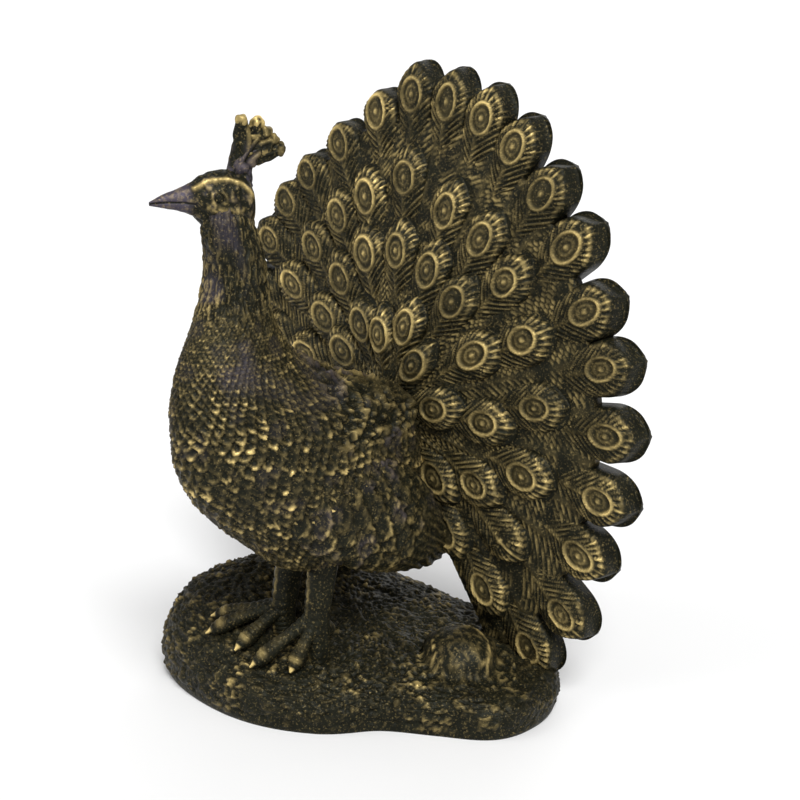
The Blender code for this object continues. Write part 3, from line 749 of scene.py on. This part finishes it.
def plate_shell():
    """The shallow cone that carries the feathers, with stems and barbs that run to its root."""
    angle = np.linspace(-FAN_SECTOR, FAN_SECTOR, PLATE_TURNS)
    reach = FAN_REACH * PLATE_REACH
    s = np.append(reach * np.sin(angle), 0.0)
    t = np.append(reach * FAN_ASPECT * np.cos(angle), -FAN_REACH * PLATE_NOTCH)
    off_stem = np.append(np.abs((angle / PLATE_STEM_STEP) % 1 - 0.5) * 2, 1.0)
    stem = bump(off_stem, 0.16)
    carved = np.append(np.ones(PLATE_TURNS), 0.0)
    rings, gold = [], []
    for share in np.linspace(0.04, 1, PLATE_RINGS):
        out = share * np.hypot(s, t)
        side = off_stem * PLATE_STEM_STEP / 2 * out
        barb = np.cos(2 * math.pi * (out - BARB_SWEEP * side) / BARB_PITCH) * (1 - stem) * carved
        rise = PLATE_FRONT_LEVEL + (FAN_CONE * PLATE_TOP_SHARE - PLATE_FRONT_LEVEL) * (1 - share)
        flat = fan_points(s * share, t * share, rise + 0.9 * stem + 0.5 * barb)
        rings.append(flat)
        rubbed = smooth_step(-0.7, 0.6, noise(flat, 6.0, 24))
        gold.append(rubbed * (0.4 * smooth_step(0.3, 1, barb) + 0.1 * stem))
    for share in np.linspace(1, 0.04, PLATE_BACK_RINGS):
        fall = PLATE_BACK_LEVEL + (PLATE_BACK_LEVEL + FAN_BACK_LEVEL) * -(1 - share)
        flat = fan_points(s * share, t * share, fall - (0.8 * stem - 0.4 * off_stem) * share)
        rough = noise(flat * PLATE_STROKE, 4.0, 30)
        rings.append(flat + np.outer(rough * carved, (0.0, 0.9, 0.0)))
        gold.append(0.2 * stem + 0.08 * smooth_step(0.1, 0.6, rough))
    return shell(np.array(rings), np.array(gold))


def body_rings(levels, around):
    """Level slices of the body with points at equal distances, from the middle of the breast."""
    rings = []
    for level, (front, back, half) in zip(levels, smooth_rows(BODY_STATIONS, levels)):
        middle, reach = (front + back) / 2, (back - front) / 2
        turn = np.linspace(-math.pi / 2, 1.5 * math.pi, OUTLINE_POINTS)
        outline = np.column_stack([half * np.cos(turn), middle + reach * np.sin(turn)])
        run = np.concatenate([[0], np.cumsum(np.linalg.norm(np.diff(outline, axis=0), axis=1))])
        stops = run[-1] * np.arange(around) / around
        rings.append([np.interp(stops, run, outline[:, k]) for k in (0, 1)] + [np.full(around, level)])
    return above_feet(np.moveaxis(np.array(rings), 1, 2))


def body_shell(low, high, rows, around):
    """A stretch of the body or neck, with scales that turn to fine strokes up the neck."""
    levels = np.linspace(low, high, rows)
    points = body_rings(levels, around)
    lowest = BODY_STATIONS[0][0]
    every = np.linspace(lowest, BODY_STATIONS[-1][0], LEVEL_STEPS)
    stations = smooth_rows(BODY_STATIONS, every)
    girth = 2 * math.pi * np.sqrt((((stations[:, 1] - stations[:, 0]) / 2) ** 2 + stations[:, 2] ** 2) / 2)
    pitch = SCALE_ROW_SHARE * np.maximum(2.2, girth / SCALE_COLUMNS)
    climb = np.concatenate([[0], np.cumsum(np.diff(every) / pitch[1:])])
    v = np.interp(levels, every, climb)[:, None] + 0 * points[..., 0]
    u = np.broadcast_to(SCALE_COLUMNS * np.arange(around) / around, v.shape)
    wander = 0.3 * noise(points, 7.0, 6) + 0.16 * noise(points, 3.0, 25)
    height, edge, own = scales(u + wander, v + 0.35 * noise(points, 8.0, 7), SCALE_COLUMNS)
    size = np.interp(levels, every, girth / SCALE_COLUMNS)[:, None]
    relief = SCALE_RELIEF * np.minimum(1.0, size / 5.0) * (1 + 0.35 * own)
    flecks = noise(points, 1.5, 9)
    patches = smooth_step(-0.5, 0.6, noise(points, 15.0, 10))
    hair = noise(points * STROKE_STRETCH, STROKE_SIZE, 8)
    on_neck = smooth_step(NECK_LEVEL - NECK_BLEND, NECK_LEVEL + NECK_BLEND, levels)[:, None]
    knobs = noise(points, KNOB_SIZE, 11) + 0.6 * bump(noise(points, CURL_SIZE, 26), 0.12)
    on_saddle = smooth_step(*SADDLE_BACK, points[..., 1]) * smooth_step(*SADDLE_LOW, levels)[:, None]
    carved = relief * (height - 0.45) * (1 - on_saddle) + on_saddle * KNOB_RELIEF * knobs
    high = smooth_step(*NECK_TOP, levels)[:, None]
    carved = (1 - on_neck) * carved + on_neck * STROKE_RELIEF * hair * (1 - 0.3 * high) + 0.25 * flecks
    lucky = smooth_step(-0.2, 0.9, own) * smooth_step(-0.4, 0.4, flecks)
    shown = 0.14 + 0.2 * smooth_step(-0.6, 0.6, own) + lucky * (0.3 + 0.9 * patches)
    gold = edge * shown * (1 - on_saddle) * smooth_step(-0.9, 0.1, flecks)
    gold += on_saddle * smooth_step(0.15, 0.8, knobs) * (0.1 + 0.4 * patches)
    shown = (0.14 + 0.3 * patches) * (1 - 0.45 * high)
    gold = (1 - on_neck) * gold + on_neck * smooth_step(0.05, 0.5, hair) * shown
    # Painted sheen: violet on the side of the upper breast that faces front and towards the camera, beside a
    # bluish tint in random patches
    facing = points - points.mean(axis=1, keepdims=True)
    facing = facing[..., :2] @ np.array(PAINTED_SHEEN_SIDE) / np.linalg.norm(facing[..., :2], axis=-1)
    tint_and_sheen = smooth_step(0.55, 0.9, facing) * smooth_step(*PAINTED_SHEEN_LEVELS, levels)[:, None]
    hints = smooth_step(0.1, 0.5, noise(points, 9.0, 27))
    violet = TINT_AND_SHEEN_DEPTH * np.maximum(tint_and_sheen * smooth_step(0.0, 0.5, noise(points, 13.0, 12)),
                                      hints * (0.35 + 0.9 * on_saddle * smooth_step(0.0, 0.5, knobs)))
    return shell(points + outward(points) * carved[..., None], gold * (1 - 0.7 * violet), violet)


def rump_shell():
    """A rounded rump with scales, which closes the root of the fan from behind."""
    lean, turn = round_grid(*RUMP_GRID, WIDE_INSET)
    unit = np.stack([np.sin(lean) * np.cos(turn), np.sin(lean) * np.sin(turn), -np.cos(lean) + 0 * turn], -1)
    points = above_feet(unit * np.array(RUMP_HALF) + np.array(RUMP_CENTRE))
    columns, lines = RUMP_SCALES
    height, edge, own = scales(columns * turn / (2 * math.pi) + 0 * lean,
                               lines * lean / math.pi + 0 * turn, columns)
    carved = RUMP_SCALE_RELIEF * (height - 0.9) + 0.2 * noise(points, 1.6, 21)
    return shell(points + outward(points) * carved[..., None], (0.2 + 0.15 * own) * edge)


def near_line(x, y, line):
    """Distance of points of a plane from a line of straight runs."""
    best = np.full(x.shape, 1e9)
    for (x0, y0), (x1, y1) in zip(line, line[1:]):
        run = np.array((x1 - x0, y1 - y0))
        share = np.clip(((x - x0) * run[0] + (y - y0) * run[1]) / (run @ run), 0, 1)
        best = np.minimum(best, np.hypot(x - x0 - share * run[0], y - y0 - share * run[1]))
    return best


def head_points(ahead, aside, up):
    """Place points of the head: ahead along the beak, aside and up."""
    x, y, z = HEAD_CENTRE
    cos, sin = math.cos(HEAD_YAW), math.sin(HEAD_YAW)
    return above_feet(np.stack([x - ahead * sin + aside * cos, y - ahead * cos - aside * sin, z + up], -1))


def ball_shell(centre, radius, gold):
    """A small lumpy knob."""
    lean, turn = round_grid(*BALL_GRID, SMALL_INSET)
    unit = np.stack([np.sin(lean) * np.cos(turn), np.sin(lean) * np.sin(turn), np.cos(lean) + 0 * turn], -1)
    lumps = noise(centre + radius * unit, 2.0)
    points = centre + radius * unit * (1 + 0.3 * lumps)[..., None]
    return shell(points, gold * smooth_step(-0.6, 0.3, lumps))


def head_shells():
    """Head and beak, with a brow, a cheek band, a mouth line and eyes."""
    rows, around = HEAD_GRID
    ahead = np.linspace(HEAD_STATIONS[0][0], HEAD_STATIONS[-1][0], rows)
    stations = smooth_rows(HEAD_STATIONS, ahead)
    turn = full_turn(around)[None, :]
    half, top, bottom = (stations[:, k][:, None] for k in range(3))
    aside = half * np.cos(turn)
    up = (top + bottom) / 2 + (top - bottom) / 2 * np.sin(turn)
    along = ahead[:, None] + 0 * turn
    points = head_points(along, aside, up)
    on_side = smooth_step(0.25, 0.6, np.abs(np.cos(turn)))
    beak = smooth_step(*BEAK_START, along)
    brow = bump(near_line(along, up, BROW), BROW_WIDTH) * on_side
    cheek = bump(near_line(along, up, CHEEK), CHEEK_WIDTH) * on_side
    throat = bump(near_line(along, up, THROAT), THROAT_WIDTH) * on_side
    mouth = bump(near_line(along, up, MOUTH), MOUTH_WIDTH) * on_side
    eye_ahead, eye_aside, eye_up = EYE_PLACE
    socket = bump(np.hypot(along - eye_ahead, up - eye_up) - SOCKET_RADIUS, SOCKET_WIDTH) * on_side
    flecks = noise(points, 1.3, 14)
    hair = noise(points, 2.4, 13)
    relief = 1.1 * brow + 0.8 * cheek - 0.9 * mouth + 0.6 * socket - 0.8 * throat
    relief += (0.35 * hair + 0.3 * flecks) * (1 - 0.75 * beak)
    relief *= smooth_step(-9, -6, along) * smooth_step(37, 35, along)
    rubbed = 0.5 + 0.5 * noise(points, 4.0, 15)
    gold = 0.45 * cheek + 0.3 * socket + 0.3 * smooth_step(0.1, 0.6, hair)
    gold = gold * (0.3 + 0.8 * rubbed) * smooth_step(-0.6, 0.4, flecks) * (1 - throat) * (1 - beak)
    gold += brow * (0.3 + 0.4 * rubbed) + 0.14 * beak * smooth_step(-0.2, 0.5, flecks) - 0.3 * mouth
    violet = np.maximum(beak * (1 - mouth), 0.5 * smooth_step(0.0, 0.5, hair) * rubbed)
    shells = [shell(points + outward(points) * relief[..., None], gold, violet)]
    for side in (-1, 1):
        aside = side * (eye_aside - EYE_SUNK)
        centre = head_points(np.array(eye_ahead), np.array(aside), np.array(eye_up))
        shells.append(ball_shell(centre, EYE_RADIUS, 0.0))
    return shells


def limb_shell(points, radii, rows, around, level_way, carve):
    """A round limb along a smooth line, whose carving is worked out by carve(share, turn)."""
    share = np.linspace(0, 1, rows)
    table = np.column_stack([np.linspace(0, 1, len(points)), points, radii])
    read = smooth_rows(table, share)
    spine, radius = read[:, :3], read[:, 3]
    tangent = np.gradient(spine, axis=0)
    tangent /= np.linalg.norm(tangent, axis=1, keepdims=True)
    aside = np.cross(tangent, np.array(level_way, float))
    aside /= np.linalg.norm(aside, axis=1, keepdims=True)
    other = np.cross(tangent, aside)
    turn = full_turn(around)
    lift, gold, violet = carve(share[:, None], turn[None, :])
    reach = (radius[:, None] + lift)[..., None]
    ring = aside[:, None] * np.cos(turn)[None, :, None] + other[:, None] * np.sin(turn)[None, :, None]
    return shell(spine[:, None] + ring * reach, gold + 0 * lift, violet)


def tuft_shell():
    """The lumpy middle of the crest, which fills it between its plumes."""
    lean, turn = round_grid(*TUFT_GRID, SMALL_INSET)
    ahead, up = TUFT_MIDDLE
    along, thick, tall = TUFT_HALF
    points = head_points(ahead + along * np.sin(lean) * np.cos(turn), thick * np.sin(lean) * np.sin(turn),
                         up - tall * np.cos(lean) + 0 * turn)
    lumps = noise(points, 2.4, 31)
    carved = points + outward(points) * (TUFT_RELIEF * lumps)[..., None]
    return shell(carved, 0.3 * smooth_step(0.2, 0.6, lumps), 0.7 * smooth_step(0.0, 0.4, -lumps))


def crest_shells():
    """A tuft of ridged plumes with knobs at their tips."""
    ahead, up = CREST_FOOT

    def ridged(number):
        def carve(share, turn):
            lumps = noise(np.stack([9 * share + 0 * turn, 2.6 * np.cos(turn) + 0 * share,
                                    2.6 * np.sin(turn) + 9.0 * number + 0 * share], -1), 1.5, 23)
            gold = 0.28 * smooth_step(0.2, 0.6, lumps) * smooth_step(0.2, 1.0, share)
            violet = 0.8 * smooth_step(0.0, 0.4, lumps) * smooth_step(0.9, 0.5, share)
            at_end = smooth_step(0.8, 1.0, share)
            lift = PLUME_FILL * smooth_step(0.15, 0.6, share) - PLUME_END * at_end
            return lift + PLUME_LUMPS * lumps * (1 - 0.6 * at_end), gold, violet
        return carve

    spread, rise = CREST_NECK
    level_way = (math.cos(HEAD_YAW), -math.sin(HEAD_YAW), 0.0)
    shells = [tuft_shell()]
    for number, ((plume, length), shine) in enumerate(zip(CREST_PLUMES, CREST_SHINE)):
        lean = math.radians(plume)
        spots = [(ahead, up - CREST_SUNK), (ahead - spread * math.sin(lean), up + rise),
                 (ahead - length * math.sin(lean), up + length * math.cos(lean))]
        line = [head_points(np.array(a), np.array(0.0), np.array(b)) for a, b in spots]
        shells.append(limb_shell(line, CREST_RADII, *PLUME_GRID, level_way, ridged(number)))
        shells.append(ball_shell(line[-1], CREST_TIP_RADIUS, shine))
    return shells


def wing_shell(side):
    """A rounded wing folded against the body, with large scallops that lengthen to the rear."""
    along_half, tall_half, thick_half = WING_HALF
    lean, turn = round_grid(*WING_GRID, WIDE_INSET)
    along = -np.cos(lean)
    round_off = np.sin(lean) ** WING_ROUNDING
    tall = np.cos(turn) * tall_half * round_off * (1 - WING_TAPER * along)
    thick = np.sin(turn) * thick_half * round_off
    shift = along * along_half
    y = shift * math.cos(WING_PITCH) + tall * math.sin(WING_PITCH)
    z = -shift * math.sin(WING_PITCH) + tall * math.cos(WING_PITCH)
    x = WING_CENTRE[0] + thick - WING_TUCK * np.maximum(0.0, -along)
    points = above_feet(np.stack([side * x, WING_CENTRE[1] + y, WING_CENTRE[2] + z], -1))
    wander = 0.35 * noise(points, 10.0, 16) + 0.2 * noise(points, 3.5, 28)
    rear = smooth_step(*WING_REAR, along)
    width = WING_SCALE_WIDTH * (1 - 0.2 * np.cos(turn))
    height, edge, own = scales(tall / width + 30 + wander, 40 - shift / WING_SCALE_LENGTH + 0.8 * wander,
                               rim=WING_RIM)
    long_strokes = np.cos(2 * math.pi * (tall / LONG_STROKE_PITCH + 0.5 * noise(points, 9.0, 17)))
    flecks = noise(points, 1.6, 18)
    relief = (1 - rear) * WING_SCALE_RELIEF * (1 + 0.3 * own) * (height - 0.5) + rear * 0.5 * long_strokes
    relief += 0.4 * flecks + 0.4 * (1 - rear) * noise(points, 3.0, 29)
    patches = smooth_step(-0.5, 0.6, noise(points, 15.0, 19))
    lucky = smooth_step(-0.5, 0.7, own) * smooth_step(-0.6, 0.4, flecks)
    gold = (1 - rear) * smooth_step(0.3, 0.9, edge) * (0.08 + lucky * (0.2 + 0.5 * patches))
    gold += (1 - rear) * 0.14 * smooth_step(0.25, 0.6, flecks)
    gold += rear * 0.16 * smooth_step(0.5, 1, long_strokes)
    gold *= 0.7 * smooth_step(0.15, 0.4, np.sin(lean))
    relief = (relief - 0.6) * smooth_step(0.1, 0.35, np.sin(lean))
    violet = 0.6 * (1 - rear) * smooth_step(0.0, 0.4, noise(points, 9.0, 20)) * (0.3 + edge)
    return shell(points + outward(points) * relief[..., None], gold, violet)


def leg_shells():
    """Legs with plates down their front and a thin ridge with a painted highlight down one side, and sloping
    toes that end in gold claws.
    """
    shells = []

    def plated(share, turn):
        front = smooth_step(0.0, 0.9, np.sin(turn))
        plates = np.abs(np.sin(share * LEG_PLATE_RATE)) ** 0.5
        sinews = np.cos(5 * turn + 2 * share)
        # A thin ridge with a painted highlight along it, on the side towards the camera
        painted_highlight_ridge = smooth_step(0.992, 1.0, np.cos(turn - LEG_HIGHLIGHT_TURN + 0.3 * share))
        broken = smooth_step(-0.9, 0.1, np.sin(share * 23) + np.sin(share * 9))
        lift = 0.7 * plates * front + 0.5 * sinews * (1 - front) + 0.5 * painted_highlight_ridge
        return lift, (0.35 * broken + 0.1) * painted_highlight_ridge, 0.0

    def clawed(share, turn):
        above = smooth_step(-0.2, 0.8, -np.sin(turn))
        middle, last = TOE_JOINTS
        joints = bump(share - middle, 0.05) + bump(share - last, 0.05)
        wrinkles = 0.45 * np.abs(np.sin(share * TOE_WRINKLE_RATE)) * (share < TOE_WRINKLE_END)
        claw = smooth_step(*CLAW_START, share)
        gold = 0.3 * bump(share - last, 0.06) + 0.95 * claw + 0.06 * bump(share - middle, 0.1)
        return 0.3 * joints + wrinkles - 0.3 * claw + 0 * turn, gold * above, 0.0

    for (hip, ankle), toes in ((LEFT_LEG, LEFT_TOES), (RIGHT_LEG, RIGHT_TOES)):
        top, bend = above_feet(np.array(hip)), above_feet(np.array(ankle))
        ground = float(base_height(*bend[:2, None])[0])
        heel = np.array((bend[0], bend[1], ground - LEG_SUNK))
        shells.append(limb_shell((top, bend, heel), LEG_RADII, *LEG_GRID, (0, 1, 0), plated))
        rise = bend[2] - ground - TOE_START
        for toe in toes:
            line, girths = [], []
            for share, girth in TOE_STATIONS:
                spot = bend[:2] + (np.array(toe) - bend[:2]) * share
                lift = TOE_RADIUS * TOE_LIE + rise * (1 - share) ** TOE_SLOPE
                line.append((*spot, float(base_height(*spot[:, None])[0]) + lift))
                girths.append(TOE_RADIUS * girth)
            shells.append(limb_shell(line, girths, *TOE_GRID, (0, 0, 1), clawed))
    return shells


def bronze():
    """Near-black bronze with gold rubbed on the raised carving and a bluish tint, by the masks of each
    surface, which also carry painted highlights and a painted sheen.
    """
    material = bpy.data.materials.new("antique_bronze")
    material.use_nodes = True
    nodes, links = material.node_tree.nodes, material.node_tree.links
    shader = nodes["Principled BSDF"]

    def node(kind, **values):
        made = nodes.new(kind)
        for key, value in values.items():
            if hasattr(made, key):
                setattr(made, key, value)
            else:
                made.inputs[key].default_value = value
        return made

    def mix(low, high, factor):
        made = node("ShaderNodeMix", data_type="RGBA")
        for slot, value in ((6, low), (7, high)):
            if isinstance(value, tuple):
                made.inputs[slot].default_value = (*value, 1)
            else:
                links.new(value, made.inputs[slot])
        links.new(factor, made.inputs[0])
        return made.outputs[2]

    def span(value, low, high, start=0.0, end=1.0):
        made = node("ShaderNodeMapRange")
        for socket, number in (("From Min", start), ("From Max", end), ("To Min", low), ("To Max", high)):
            made.inputs[socket].default_value = number
        links.new(value, made.inputs["Value"])
        return made.outputs["Result"]

    place = node("ShaderNodeTexCoord").outputs["Object"]
    coarse = node("ShaderNodeTexNoise", Scale=MOTTLE_SCALE, Detail=4.0, Roughness=0.6)
    fine = node("ShaderNodeTexNoise", Scale=GRAIN_SCALE, Detail=3.0, Roughness=0.65)
    links.new(place, coarse.inputs["Vector"])
    links.new(place, fine.inputs["Vector"])
    gold = node("ShaderNodeAttribute", attribute_name="gold").outputs["Fac"]
    violet = node("ShaderNodeAttribute", attribute_name="violet").outputs["Fac"]
    worn = node("ShaderNodeMath", operation="MULTIPLY")
    links.new(gold, worn.inputs[0])
    links.new(span(fine.outputs["Fac"], *GRAIN_WEAR), worn.inputs[1])
    grit = node("ShaderNodeMath", operation="ADD")
    links.new(worn.outputs[0], grit.inputs[0])
    links.new(span(fine.outputs["Fac"], 0.0, GRIT_SHINE, *GRIT_SPAN), grit.inputs[1])
    grit.use_clamp = True
    dark = mix(*DARK_COLOURS, coarse.outputs["Fac"])
    # The violet mask brings in the bluish tint and the painted sheen
    tint_and_sheen = mix(dark, TINT_AND_SHEEN_COLOUR, violet)
    links.new(mix(tint_and_sheen, GOLD_COLOUR, grit.outputs[0]), shader.inputs["Base Color"])
    links.new(span(grit.outputs[0], *ROUGHNESS), shader.inputs["Roughness"])
    links.new(span(grit.outputs[0], *METAL), shader.inputs["Metallic"])
    shader.inputs["Specular IOR Level"].default_value = SPECULAR_LEVEL
    grain = node("ShaderNodeBump", Strength=GRAIN_STRENGTH, Distance=GRAIN_DEPTH)
    links.new(fine.outputs["Fac"], grain.inputs["Height"])
    links.new(grain.outputs["Normal"], shader.inputs["Normal"])
    return material


def pale_floor():
    """A plain pale floor."""
    bpy.ops.mesh.primitive_plane_add(size=FLOOR_SIZE)
    floor = bpy.context.object
    floor.name = "floor"
    material = bpy.data.materials.new("pale_floor")
    material.use_nodes = True
    shader = material.node_tree.nodes["Principled BSDF"]
    shader.inputs["Base Color"].default_value = FLOOR_COLOUR
    shader.inputs["Roughness"].default_value = FLOOR_ROUGHNESS
    floor.data.materials.append(material)


def soft_light():
    """A white room, with a soft light from above on the right and weaker ones left and behind."""
    world = bpy.data.worlds.new("white_room")
    bpy.context.scene.world = world
    world.use_nodes = True
    background = world.node_tree.nodes["Background"]
    background.inputs["Color"].default_value = (1, 1, 1, 1)
    background.inputs["Strength"].default_value = ROOM_STRENGTH
    for name, way, spread, strength in SOFT_LIGHTS:
        light = bpy.data.lights.new(name, "SUN")
        light.angle = spread
        light.energy = strength
        lamp = bpy.data.objects.new(name, light)
        lamp.rotation_euler = Vector(way).to_track_quat("Z", "Y").to_euler()
        bpy.context.scene.collection.objects.link(lamp)


def place_camera():
    """The photograph's view."""
    data = bpy.data.cameras.new("view")
    data.lens = CAMERA_LENS
    data.shift_x, data.shift_y = CAMERA_SHIFT
    camera = bpy.data.objects.new("view", data)
    target = Vector(CAMERA_TARGET) * UNIT
    flat = math.cos(CAMERA_ELEVATION)
    way = Vector((flat * math.sin(CAMERA_AZIMUTH), -flat * math.cos(CAMERA_AZIMUTH),
                  math.sin(CAMERA_ELEVATION)))
    camera.location = target + way * CAMERA_DISTANCE * UNIT
    camera.rotation_euler = (-way).to_track_quat("-Z", "Y").to_euler()
    bpy.context.scene.collection.objects.link(camera)
    bpy.context.scene.camera = camera


bpy.context.scene.view_settings.view_transform = "Standard"
place_camera()
soft_light()
pale_floor()
finish = bronze()
piece("rocky_base", [base_shell()], finish)
piece("fan_outer_feathers", row_shells(OUTER_ROW, "outer", OUTER_SEED), finish)
piece("fan_second_feathers", row_shells(SECOND_ROW, "inner", SECOND_SEED), finish)
inmost_rows = row_shells(THIRD_ROW, "inner", THIRD_SEED) + row_shells(FOURTH_ROW, "inner", FOURTH_SEED)
piece("fan_third_feathers", inmost_rows, finish)
piece("fan_back", [plate_shell(), rump_shell()] + back_row_shells(), finish)
piece("body", [body_shell(BODY_STATIONS[0][0], BODY_TOP, *BODY_GRID)], finish)
piece("neck", [body_shell(BODY_TOP - NECK_OVERLAP, BODY_STATIONS[-1][0], *NECK_GRID)], finish)
piece("head", head_shells() + crest_shells(), finish)
piece("wing_left", [wing_shell(1)], finish)
piece("wing_right", [wing_shell(-1)], finish)
piece("legs", leg_shells(), finish)
